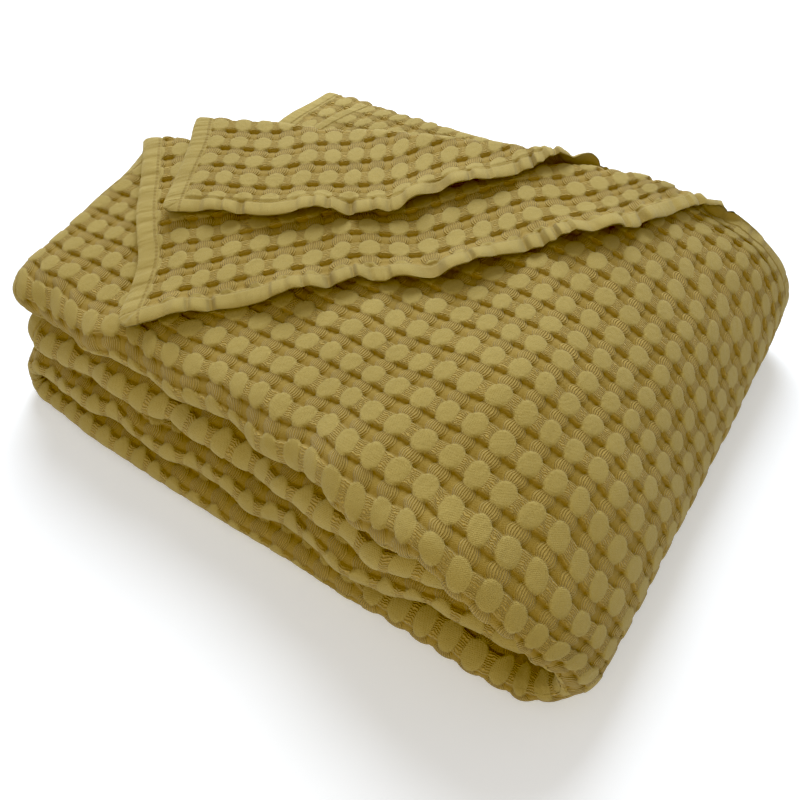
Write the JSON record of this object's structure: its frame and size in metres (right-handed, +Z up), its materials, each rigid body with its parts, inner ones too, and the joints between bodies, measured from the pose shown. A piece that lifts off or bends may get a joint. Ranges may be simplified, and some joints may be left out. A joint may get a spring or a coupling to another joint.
{
  "type": "waffle weave cotton blanket",
  "caption": "Waffle weave cotton throw blanket in ochre, folded into a thick stack with one corner of its layers turned back.",
  "frame": {"origin": "centre of the folded stack's outline on the surface it lies on", "axes": "+X along the long folded side, from the free end of the top run to the wrap; +Y from the side with the two long folds to the side with the hems; +Z up"},
  "size_m": [0.4162, 0.3298, 0.1238],
  "materials": {
    "ochre_cotton": "matt washed cotton in a waffle weave"
  },
  "bodies": {
    "root": {"blanket": "ochre_cotton"}
  },
  "joints": []
}
